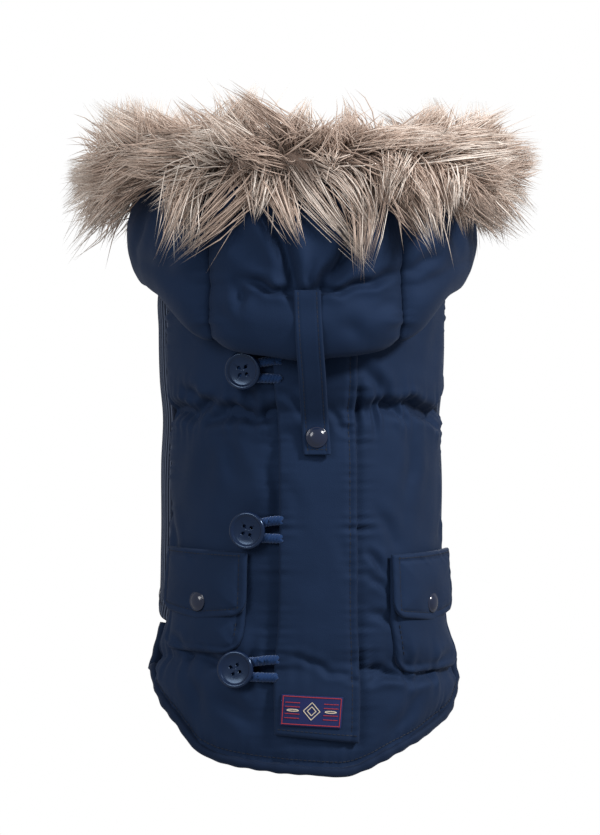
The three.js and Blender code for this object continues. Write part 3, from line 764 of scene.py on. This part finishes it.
def pocketPieces(hand, at):
    centre = math.radians(at["angle"]) * trunkLook["girthRadius"]
    tilt = 1.5 * np.sign(at["angle"])
    u = np.linspace(-1, 1, 70)[:, None]
    v = np.linspace(0, 1, 66)[None, :]
    foot = at["bottom"] + cornerLift(u, at["halfWidth"], 12)
    s = at["top"] + (foot - at["top"]) * v + u * tilt
    x = np.broadcast_to(centre + u * at["halfWidth"], s.shape)
    near, rounding = softEdge(u, v, at["halfWidth"], 70, True)
    fullness = at["puff"] * (1 - np.exp(-((near / 12) ** 2))) - 0.7 * np.exp(-(((near - 4.5) / 1.4) ** 2))
    crumple = 0.9 * softNoise(x, s, 61 + int(at["angle"] > 0), 26) * (1 - np.exp(-((near / 9) ** 2)))
    base = 0.5 * backRelief(x, s)
    lift = 2.9 + base + fullness + crumple + gathers(x + s, near - 4.5, 0.55, 4, 63)
    outer = trunkMoved(arcAngle(x), s, lift - rounding)
    inner = trunkMoved(arcAngle(x), s, base - 1.5)
    patch = shown(f"pocket{hand.title()}", wallMesh(f"pocket{hand.title()}", outer, inner), trimCloth,
                  f"pocket_{hand}")

    width = flapLook["halfWidth"]
    bottom = at["top"] - flapLook["drop"] + flapLook["point"] * np.abs(u)
    bottom = bottom + cornerLift(u, width, flapLook["corner"])
    s = at["top"] + flapLook["above"] + (bottom - at["top"] - flapLook["above"]) * v + u * tilt
    x = np.broadcast_to(centre + u * width, s.shape)
    near, rounding = softEdge(u, v, width, 46, False)
    over = flapLook["lift"] + 0.7 * at["puff"] * (1 - np.exp(-((near / 12) ** 2)))
    base = 0.5 * backRelief(x, s)
    snapDip = np.hypot(x - centre, s - (at["top"] - flapLook["drop"] + flapLook["snapUp"]))
    wavy = 0.8 * softNoise(x, s, 71 + int(at["angle"] > 0), 30) - 0.9 * np.exp(-((snapDip / 9) ** 2))
    ridge = -0.7 * np.exp(-(((near - 5) / 1.3) ** 2)) + gathers(x + s, near - 5, 0.45, 4, 73)
    lift = base + over + wavy + ridge + 1.6 * v * (1 - 0.6 * np.exp(-((snapDip / 14) ** 2)))
    outer = trunkMoved(arcAngle(x), s, lift - rounding)
    inner = trunkMoved(arcAngle(x), s, lift - 2.3)
    flap = shown(f"flap{hand.title()}", wallMesh(f"flap{hand.title()}", outer, inner), trimCloth,
                 f"pocket_flap_{hand}")
    rows = [outer[5:-5, 4], outer[5, 4:-7], outer[-6, 4:-7], outer[5:-5, -8]]
    stitches(f"flapStitches{hand.title()}", rows)
    middle = outer.shape[0] // 2
    row = int(np.argmin(np.abs(s[middle] - (at["top"] - flapLook["drop"] + flapLook["snapUp"]))))
    return outer[middle, row], trunkOut(arcAngle(centre), s[middle, row])


def lathe(name, profile, segments, centre, out, materialOf, node):
    profile = np.array(profile, float)
    around = np.linspace(0, 2 * np.pi, segments, endpoint=False)
    up = np.array([0, 0, 1.0])
    side = unit(np.cross(up, out))
    up = np.cross(out, side)
    ring = side * np.cos(around)[:, None] + up * np.sin(around)[:, None]
    points = centre + ring[None] * profile[:, 0, None, None] + out * profile[:, 1, None, None]
    mesh = givenMesh(name, points.reshape(-1, 3), ringFaces(len(profile), segments)[1].tolist())
    return shown(name, mesh, materialOf, node)


def domeProfile(radius):
    shares = [(1, 0), (1, 0.7), (0.97, 1.1), (0.88, 1.35), (0.84, 1.3),
              (0.80, 1.5), (0.66, 2.3), (0.45, 2.85), (0.2, 3.1)]
    return [(0.01, 0), *[(radius * share, height) for share, height in shares], (0.01, 3.15)]


for hand, at in pocketLook.items():
    seat, out = pocketPieces(hand, at)
    lathe(f"pocketSnap{hand.title()}", domeProfile(6.6), 40, seat - out * 0.3, out, glossPlastic,
          f"pocket_snap_{hand}")


def bindingPath():
    side = math.radians(trunkLook["seamAngle"]) * trunkLook["girthRadius"] + 3.4
    foot = np.linspace(-side, side, 160)
    low = through(tailEdge, "angle", "s", arcAngle(foot)) + 3
    rise = np.linspace(0, 1, 16, endpoint=False)
    left = np.stack([np.full(16, -side), -251 + (low[0] + 251) * rise], -1)
    right = np.stack([np.full(16, side), -251 + (low[-1] + 251) * rise], -1)[::-1]
    return np.concatenate([left, np.stack([foot, low], -1), right])


def bindingMesh():
    path = bindingPath()
    way = unit(np.gradient(path, axis=0))
    normal = np.stack([-way[:, 1], way[:, 0]], -1)
    around = np.linspace(0, 2 * np.pi, 20, endpoint=False)
    run = np.cumsum(np.r_[0, np.linalg.norm(np.diff(path, axis=0), axis=1)])
    swell = 1 + 0.10 * np.sin(run / 3.1) * np.sin(run / 7.7) + 0.05 * np.sin(run / 1.9)
    square = (np.abs(np.cos(around)) ** 3 + np.abs(np.sin(around)) ** 3) ** (-1 / 3)
    wide = 3.2 * np.cos(around) * square
    deep = 3.9 * np.sin(around) * square
    flat = path[:, None] + normal[:, None] * (wide[None] * swell[:, None])[..., None]
    inward = 0.5 * backRelief(flat[..., 0], flat[..., 1])
    points = trunkMoved(arcAngle(flat[..., 0]), flat[..., 1], deep[None] * swell[:, None] - 3 + 0.4 * inward)
    number, sides = ringFaces(*points.shape[:2])
    ends = [number[0].tolist(), number[-1][::-1].tolist()]
    return givenMesh("tailBinding", points.reshape(-1, 3), sides.tolist() + ends)


binding = shown("tailBinding", bindingMesh(), bindingCloth, "tail_binding")

print("strap, buttons and loops")
strapRoute = table(
    "radius height angle",
    (118.9, -37, -6.5), (121.6, -47, -6.3), (123.2, -59, -6.0), (121.6, -72, -5.6), (114, -90, -4.7),
    (103.5, -109, -3.7), (98.1, -121, -3.0), (97.9, -130, -2.6), (98.8, -141, -2.2),
)


def strapPiece():
    centres = np.stack([
        strapRoute["radius"] * np.sin(np.radians(strapRoute["angle"])),
        -strapRoute["radius"] * np.cos(np.radians(strapRoute["angle"])), strapRoute["height"]], -1)
    steps = np.linspace(0, 1, 110)
    middle = splineRoute(centres, steps)
    middle[:, 1] -= 2.2 * np.exp(-((steps / 0.12) ** 2)) + 0.6
    way = unit(np.gradient(middle, axis=0))
    side = unit(np.array([math.cos(math.radians(-6.5)), math.sin(math.radians(-6.5)), 0]))
    out = unit(np.cross(side, way))
    out = out * np.sign(-out[:, 1:2])
    wide = np.linspace(-1, 1, 26)[:, None, None]
    half = 17.5 / 2
    wavy = (0.35 * np.sin(steps * 9)[None, :, None] * wide + 0.25 * np.sin(steps * 23 + 1)[None, :, None])
    edge = np.clip((1 - np.abs(wide)) * half / 1.6, 0, 1)
    ridge = np.exp(-((((1 - np.abs(wide)) * half - 3) / 0.7) ** 2))
    thick = 1.5 - 0.8 * (1 - np.sqrt(1 - (1 - edge) ** 2)) - 0.35 * ridge
    middle = middle[None] + side * wide * half
    outer = middle + out[None] * (thick + wavy)
    inner = middle - out[None] * (1.1 - wavy)
    piece = shown("hoodStrap", wallMesh("hoodStrap", outer, inner), trimCloth, "hood_strap")
    stitches("strapStitches", [outer[4, 3:-4], outer[-5, 3:-4], outer[4:-4, -5]])
    row = int(np.argmin(np.abs(middle[13, :, 2] + 130)))
    return outer[13, row], out[row]


seat, out = strapPiece()
lathe("strapSnap", domeProfile(7), 44, seat - out * 0.3, out, glossPlastic, "strap_snap")

buttonLook = {
    "top": {"angle": -29.8, "s": -87, "twist": 8}, "middle": {"angle": -28.4, "s": -189.5, "twist": -12},
    "bottom": {"angle": -30, "s": -278.5, "twist": 20},
}
# Each loop is one cord of twisted yarns.
cordLook = {"yarns": 3, "twist": 6.5, "off": 1.5, "radius": 1.75, "sides": 8}
buttonProfile = [(0.01, -0.9), (10.2, -0.9), (11.2, -0.4), (12, 0.8), (12.15, 1.7), (11.8, 2.6), (11.1, 3.05),
                 (10.3, 3.0), (9.6, 2.5), (9.1, 1.9), (8.6, 1.75), (4.5, 1.7), (0.01, 1.7)]


def buttonPieces(name, at):
    x = math.radians(at["angle"]) * trunkLook["girthRadius"]
    out = unit(trunkOut(at["angle"], at["s"]))
    out = unit(out + np.array([0.03, 0, 0.02 * at["twist"] / 10]))
    centre = trunkMoved(at["angle"], at["s"], 5.9 + 0.3)
    piece = lathe(f"button{name.title()}", buttonProfile, 72, centre, out, buttonPlastic,
                  f"button_{name}")
    side = unit(np.cross([0, 0, 1.0], out))
    up = np.cross(out, side)
    holes = []
    for k in range(4):
        around = math.radians(45 + 90 * k + at["twist"])
        place = centre + (side * math.cos(around) + up * math.sin(around)) * 3.4
        bpy.ops.mesh.primitive_cylinder_add(vertices=20, radius=1.15 * mm, depth=9 * mm)
        hole = bpy.context.object
        rows = np.stack([side, up, out, place * mm], 1).tolist()
        hole.matrix_world = Matrix([*rows, [0, 0, 0, 1]])
        holes.append(hole)
    for hole in holes:
        cut = piece.modifiers.new("cut", "BOOLEAN")
        cut.operation = "DIFFERENCE"
        cut.solver = "EXACT"
        cut.object = hole
    solved = piece.evaluated_get(bpy.context.evaluated_depsgraph_get())
    made = bpy.data.meshes.new_from_object(solved)
    piece.modifiers.clear()
    piece.data = made
    made.shade_smooth()
    for hole in holes:
        bpy.data.objects.remove(hole)
    shank = tubeMesh("shank", np.linspace(centre - out * 5.6, centre - out * 0.2, 6), 1.7, 10)
    shank.materials.append(seamThread)
    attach(inScene(f"shank{name.title()}", shank), "root")
    # Three twisted yarns follow one route from the placket's edge, round the shank and back.
    reach = plack["left"] - 0.4 - x + 2.5
    turnWide = 4.5
    knots = np.array([(reach, 6.6), (reach * 0.72, 6.2), (reach * 0.4, 5.0), (0, turnWide), (-3.4, 3.3),
                      (-turnWide, 0), (-3.4, -3.3), (0, -turnWide), (reach * 0.4, -4.7), (reach * 0.72, -5.0),
                      (reach, -5.2)])
    flat = splineRoute(knots, np.linspace(0, 1, 110))
    base = backRelief(x + flat[:, 0], at["s"] + flat[:, 1])
    path = trunkMoved(arcAngle(x + flat[:, 0]), at["s"] + flat[:, 1], 2.9 + 0.6 * np.maximum(base, -1))
    run = np.cumsum(np.r_[0, np.linalg.norm(np.diff(path, axis=0), axis=1)])
    way = unit(np.gradient(path, axis=0))
    lift = np.broadcast_to(out, way.shape)
    sideWay = unit(np.cross(way, lift))
    yarns = []
    for k in range(cordLook["yarns"]):
        phase = run / cordLook["twist"] * 2 * np.pi + k * 2 * np.pi / cordLook["yarns"]
        off = sideWay * np.cos(phase)[:, None] + lift * np.sin(phase)[:, None]
        yarns.append(tubeMesh("yarn", path + cordLook["off"] * off, cordLook["radius"], cordLook["sides"]))
    piece = shown(f"loop{name.title()}", yarns[0], cordYarn, f"loop_{name}")
    others = []
    for mesh in yarns[1:]:
        mesh.materials.append(cordYarn)
        others.append(inScene("yarn", mesh))
    both = [piece, *others]
    with bpy.context.temp_override(active_object=piece, object=piece, selected_objects=both,
                                   selected_editable_objects=both):
        bpy.ops.object.join()


for name, at in buttonLook.items():
    buttonPieces(name, at)

print("label")
labelLook = {"x": -6.2, "s": -305, "width": 34.5, "height": 19.5, "tilt": -4}


def onLabel(x, y, lift):
    turned = math.radians(labelLook["tilt"])
    x, y = np.asarray(x, float), np.asarray(y, float)
    arc = labelLook["x"] + x * math.cos(turned) - y * math.sin(turned)
    s = labelLook["s"] + x * math.sin(turned) + y * math.cos(turned)
    return onPlacket(arc, s, 1.0 + lift)


x = np.linspace(-0.5, 0.5, 60)[:, None] * labelLook["width"]
y = np.linspace(0.5, -0.5, 34)[None, :] * labelLook["height"]
x, y = np.broadcast_arrays(x, y)
label = shown("wovenLabel", wallMesh("wovenLabel", onLabel(x, y, 0), onLabel(x, y, -1.2)), labelWeave,
              "label")


def frameRoute(inset):
    w, h = labelLook["width"] / 2 - inset, labelLook["height"] / 2 - inset
    corners = [(-w, -h), (w, -h), (w, h), (-w, h), (-w, -h)]
    route = [np.linspace(a, b, 14) for a, b in zip(corners[:-1], corners[1:])]
    flat = np.concatenate(route)
    return onLabel(flat[:, 0], flat[:, 1], 0.15)


def ringRoute(cx, cy, rx, ry, corners):
    around = np.linspace(0, 2 * np.pi, corners + 1)
    return onLabel(cx + rx * np.cos(around), cy + ry * np.sin(around), 0.15)


stitches("labelBorder", [frameRoute(1.1)], redThread, 0.8, 0.3, 0.75)
bars = [onLabel(np.linspace(a, a + 7.5, 8), np.full(8, b), 0.15)
        for a in (-14.5, 7.0) for b in (-4.8, -2.2, 2.2, 4.8)]
stitches("labelBars", bars, redThread, 0.8, 0.28, 0.75)
motif = [ringRoute(0, 0, 4.6, 5.4, 4), ringRoute(0, 0, 2.4, 2.8, 4),
         ringRoute(-10.6, 0, 3.2, 0.6, 12), ringRoute(10.6, 0, 3.2, 0.6, 12)]
stitches("labelMotif", motif, ecruThread, 0.6, 0.3, 0.6)

print("seams")
plackS = np.linspace(-48, -318, 200)
stitches("placketStitches", [onPlacket(np.full(200, plack["right"] - 5), plackS, 0.05),
                             onPlacket(np.linspace(plack["left"] + 3, plack["right"] - 3, 40),
                                       np.linspace(-316.5, -321, 40), 0.05)])
footX = np.linspace(-118, 118, 260)
footS = through(tailEdge, "angle", "s", arcAngle(footX)) + 9.5
stitches("tailStitches", [onBack(footX, footS, 0.05)])
for hand, at in pocketLook.items():
    centre = math.radians(at["angle"]) * trunkLook["girthRadius"]
    inner = centre - np.sign(centre) * (at["halfWidth"] - 5)
    down = np.linspace(at["top"] - 46, at["bottom"] + 12, 24)
    lift = 3.1 + 0.5 * backRelief(np.full(24, inner), down) - backRelief(np.full(24, inner), down)
    stitches(f"pocketStitches{hand.title()}", [onBack(np.full(24, inner), down, lift)])

print("fur")


def furMaterial():
    made = material("furPile", colours["furMid"], 0.58, 0.25, 0.3)
    nodes, link = made.node_tree.nodes, made.node_tree.links.new
    finish = nodes["Principled BSDF"]
    finish.inputs["Sheen Tint"].default_value = (1, 0.92, 0.84, 1)
    place = nodes.new("ShaderNodeUVMap")
    place.uv_map = "OFBake"
    parts = nodes.new("ShaderNodeSeparateXYZ")
    pile = nodes.new("ShaderNodeValToRGB")
    brown = [dark * 0.55 + mid * 0.45 for dark, mid in zip(colours["furDark"], colours["furMid"])]
    pile.color_ramp.elements[0].color = (*brown, 1)
    pile.color_ramp.elements[1].color = (*colours["furLight"], 1)
    middle = pile.color_ramp.elements.new(0.5)
    middle.color = (*colours["furMid"], 1)
    # Painted shade: the roots are three quarters furDark, fading into the lock colour by 0.55 of the way
    # along the strand.
    root = nodes.new("ShaderNodeMix")
    root.data_type = "RGBA"
    root.inputs["A"].default_value = (*colours["furDark"], 1)
    depth = nodes.new("ShaderNodeMapRange")
    depth.inputs["From Max"].default_value = 0.55
    depth.inputs["To Min"].default_value = 0.25
    link(place.outputs["UV"], parts.inputs["Vector"])
    link(parts.outputs["X"], pile.inputs["Fac"])
    link(parts.outputs["Y"], depth.inputs["Value"])
    link(depth.outputs["Result"], root.inputs["Factor"])
    link(pile.outputs["Color"], root.inputs["B"])
    link(root.outputs["Result"], finish.inputs["Base Color"])
    return made


def rimPoint(turn, out, up):
    here = np.abs(turn)
    radius = through(hoodSections, "turn", "rim", here) + out
    side = np.radians(turn + hoodLook["turn"])
    height = through(hoodSections, "turn", "height", here) + up
    return np.stack([radius * np.sin(side), -radius * np.cos(side), height], -1)


# across runs from the inner edge of the band, -1, to its outer edge, 1.
def bandPoint(turn, across):
    lean = np.radians(across * 112 + 30)
    return rimPoint(turn, 11.5 * np.sin(lean) + 1, 12 + 11.5 * np.cos(lean)), lean


def furPath(turn, across, length, lean, swirl, curl, steps):
    root, slope = bandPoint(turn, across)
    side = np.radians(turn + hoodLook["turn"])
    outWay = np.stack([np.sin(side), -np.cos(side), 0 * side], -1)
    roundWay = np.stack([np.cos(side), np.sin(side), 0 * side], -1)
    upWay = np.array([0, 0, 1.0])
    tilt = slope + lean
    way = outWay * np.sin(tilt)[:, None] + upWay * np.cos(tilt)[:, None] + roundWay * swirl[:, None]
    way = unit(way)
    t = np.linspace(0, 1, steps + 1)[None, :, None]
    fall = np.clip(0.30 + 0.32 * np.clip(across, -0.4, 1), 0.1, 0.7)[:, None, None]
    reach = length[:, None, None]
    fall = fall * (1 - 0.6 * np.abs(np.sin(side)))[:, None, None]
    path = root[:, None] + reach * t * way[:, None]
    path += reach * (curl[:, :1] * roundWay + curl[:, 1:] * upWay)[:, None] * t**2
    path[..., 2:3] -= reach * fall * t**2 * 0.95
    return path


def furPieces():
    look = furLook
    lockTurn = draw.uniform(-180, 180, look["locks"])
    lockAcross = draw.uniform(-0.95, 1.0, look["locks"])
    sides = np.abs(np.sin(np.radians(lockTurn)))
    lockLength = draw.uniform(look["shortest"], look["longest"], look["locks"]) * (0.86 + 0.14 * sides)
    lockLean = draw.normal(0, 0.3, look["locks"])
    lockSwirl = draw.normal(0, 0.42, look["locks"]) + 0.25 * np.sin(np.radians(lockTurn * 2))
    lockCurl = draw.normal(0, 1, (look["locks"], 2)) * (look["curl"], look["curl"] * 0.6)
    lockCurl[:, 0] += 0.45 * np.sin(np.radians(lockTurn))
    lockTone = draw.uniform(0.15, 0.85, look["locks"])
    owner = draw.integers(0, look["locks"], look["strands"])
    n = look["strands"]
    turn = lockTurn[owner] + draw.normal(0, 4.6, n)
    turn = (turn + 180) % 360 - 180
    across = np.clip(lockAcross[owner] + draw.normal(0, 0.17, n), -1.1, 1.1)
    length = lockLength[owner] * draw.uniform(0.62, 1.06, n)
    length = length * (0.88 + 0.22 * np.clip(across, -1, 0.5))
    stray = draw.random(n) < 0.04
    length = np.where(stray, length * 1.2, length)
    lean = lockLean[owner] + draw.normal(0, 0.10, n)
    swirl = lockSwirl[owner] + draw.normal(0, 0.10, n)
    steps = look["steps"]
    curl = lockCurl[owner] * draw.uniform(0.5, 1.5, (n, 1))
    own = furPath(turn, across, length, lean, swirl, curl, steps)
    lock = furPath(lockTurn[owner], lockAcross[owner], length, lockLean[owner], lockSwirl[owner],
                   lockCurl[owner], steps)
    t = np.linspace(0, 1, steps + 1)[None, :, None]
    pull = np.where(stray, 0.1, look["gather"])[:, None, None]
    path = own + (lock - own) * pull * t**1.3
    bend = draw.normal(0, 1, (n, 1, 3)) * 1.7 * np.sin(np.pi * t) * t
    path = path + (bend + draw.normal(0, 1, (n, 1, 3)) * 1.6 * t**2)
    # No strand reaches far past the trim's plain form.
    root = path[:, :1]
    rootWide = np.hypot(root[:, 0, 0], root[:, 0, 1])
    tipWide = np.hypot(path[..., 0], path[..., 1]).max(1)
    widest = through(hoodSections, "turn", "rim", np.abs(turn)) + look["reachOut"]
    short = np.minimum(1, (widest - rootWide) / np.maximum(tipWide - rootWide, 1))
    rootUp = root[:, 0, 2]
    short = np.minimum(short, (look["reachUp"] - rootUp) / np.maximum(path[..., 2].max(1) - rootUp, 1))
    path = root + (path - root) * short[:, None, None]
    tones = np.clip(lockTone[owner] + draw.normal(0, 0.16, n), 0.02, 0.98)
    way = unit(np.gradient(path, axis=1))
    side = unit(np.cross(way, draw.normal(0, 1, (n, 1, 3))))
    lift = np.cross(side, way)
    taper = np.array([1, 1.0, 0.85, 0.6])[None, :, None]
    thick = look["thick"] * draw.uniform(0.55, 1.15, n)[:, None, None] * taper
    corners = []
    for k in range(3):
        around = 2 * math.pi * k / 3
        off = side[:, :-1] * math.cos(around) + lift[:, :-1] * math.sin(around)
        corners.append(path[:, :-1] + off * thick)
    rings = np.stack(corners, 2)
    points = np.concatenate([rings.reshape(n, -1, 3), path[:, -1:]], 1)
    each = points.shape[1]
    tri = []
    for i in range(steps - 1):
        for k in range(3):
            a, b = 3 * i + k, 3 * i + (k + 1) % 3
            tri += [(a, b, b + 3), (a, b + 3, a + 3)]
    last = 3 * (steps - 1)
    tri += [(last + k, last + (k + 1) % 3, last + 3) for k in range(3)]
    tri += [(0, 2, 1)]
    tri = np.array(tri)
    shares = np.r_[np.repeat(np.arange(steps) / steps, 3), 1.0]
    pile = furMaterial()
    # The pile is split round the hood, so that each piece stays light.
    for part, chosen in enumerate(np.array_split(np.argsort(turn), look["pieces"])):
        m = len(chosen)
        faces = (tri[None] + (np.arange(m) * each)[:, None, None]).reshape(-1, 3)
        name = "furTrim" if part == 0 else f"furTrim{part + 1}"
        mesh = meshOf(name, points[chosen].reshape(-1, 3), faces)
        place = mesh.uv_layers.new(name="OFBake")
        corner = np.tile(tri.ravel() % each, m)
        u = np.repeat(tones[chosen], tri.size) + 0.004 * (corner % 3) / 3
        place.data.foreach_set("uv", np.stack([u, 0.02 + 0.96 * shares[corner]], -1).ravel())
        shown(name, mesh, pile, "fur_trim")
    core = np.linspace(-180, 180, 121)
    ringTurn = np.linspace(0, 2 * np.pi, 16, endpoint=False)
    rings = [rimPoint(core, 1 + 10.5 * math.sin(a), 11 + 12.5 * math.cos(a)) for a in ringTurn]
    body = np.stack(rings, 1)[:-1]
    rows, cols = body.shape[:2]
    number = np.arange(rows * cols).reshape(rows, cols)
    right, down = np.roll(number, -1, 1), np.roll(number, -1, 0)
    both = np.roll(down, -1, 1)
    mesh = meshOf("furBacking", body.reshape(-1, 3), np.stack([number, right, both, down], -1).reshape(-1, 4))
    # The backing takes the colour at the roots of the pile, mostly furDark: painted shade under the fur.
    place = mesh.uv_layers.new(name="OFBake")
    place.data.foreach_set("uv", np.tile([0.3, 0.02, 0.34, 0.02, 0.34, 0.06, 0.3, 0.06], rows * cols))
    shown("furBacking", mesh, pile, "fur_trim")


furPieces()

print("light and camera")


def lamp(name, place, size, power):
    light = bpy.data.lights.new(name, "AREA")
    light.shape = "DISK"
    light.size = size
    light.energy = power
    holder = inScene(name, light)
    holder.location = place
    aim = np.array([0, 0, -0.12]) - np.array(place)
    holder.rotation_euler = Vector(aim.tolist()).to_track_quat("-Z", "Y").to_euler()


lamp("keyLight", (1.8, -1.5, 1.5), 0.55, 88)
lamp("fillLight", (-1.8, -1.9, 0.9), 1.4, 34)
lamp("rimLight", (0.4, 1.9, 1.2), 1.2, 34)

scene = bpy.context.scene
world = bpy.data.worlds.new("plainRoom")
world.use_nodes = True
nodes, link = world.node_tree.nodes, world.node_tree.links.new
glow = nodes["Background"]
glow.inputs["Color"].default_value = (1, 1, 1, 1)
rays = nodes.new("ShaderNodeLightPath")
seen = nodes.new("ShaderNodeMapRange")
seen.inputs["To Min"].default_value = 0.44
seen.inputs["To Max"].default_value = 1.0
link(rays.outputs["Is Camera Ray"], seen.inputs["Value"])
link(seen.outputs["Result"], glow.inputs["Strength"])
scene.world = world
scene.view_settings.view_transform = "Standard"

turnedBy = math.radians(view["azimuth"])
lens = bpy.data.cameras.new("longLens")
lens.sensor_fit = "VERTICAL"
lens.sensor_height = 24
lens.lens = 24 * view["distance"] / view["tall"]
lens.clip_end = 20
camera = inScene("longLens", lens)
rightWay = np.array([math.cos(turnedBy), math.sin(turnedBy), 0])
backWay = np.array([math.sin(turnedBy), -math.cos(turnedBy), 0])
camera.location = ((backWay * view["distance"] + rightWay * view["aside"]) * mm).tolist()
camera.location.z = view["height"] * mm
camera.rotation_euler = (math.radians(90), 0, turnedBy)
scene.camera = camera
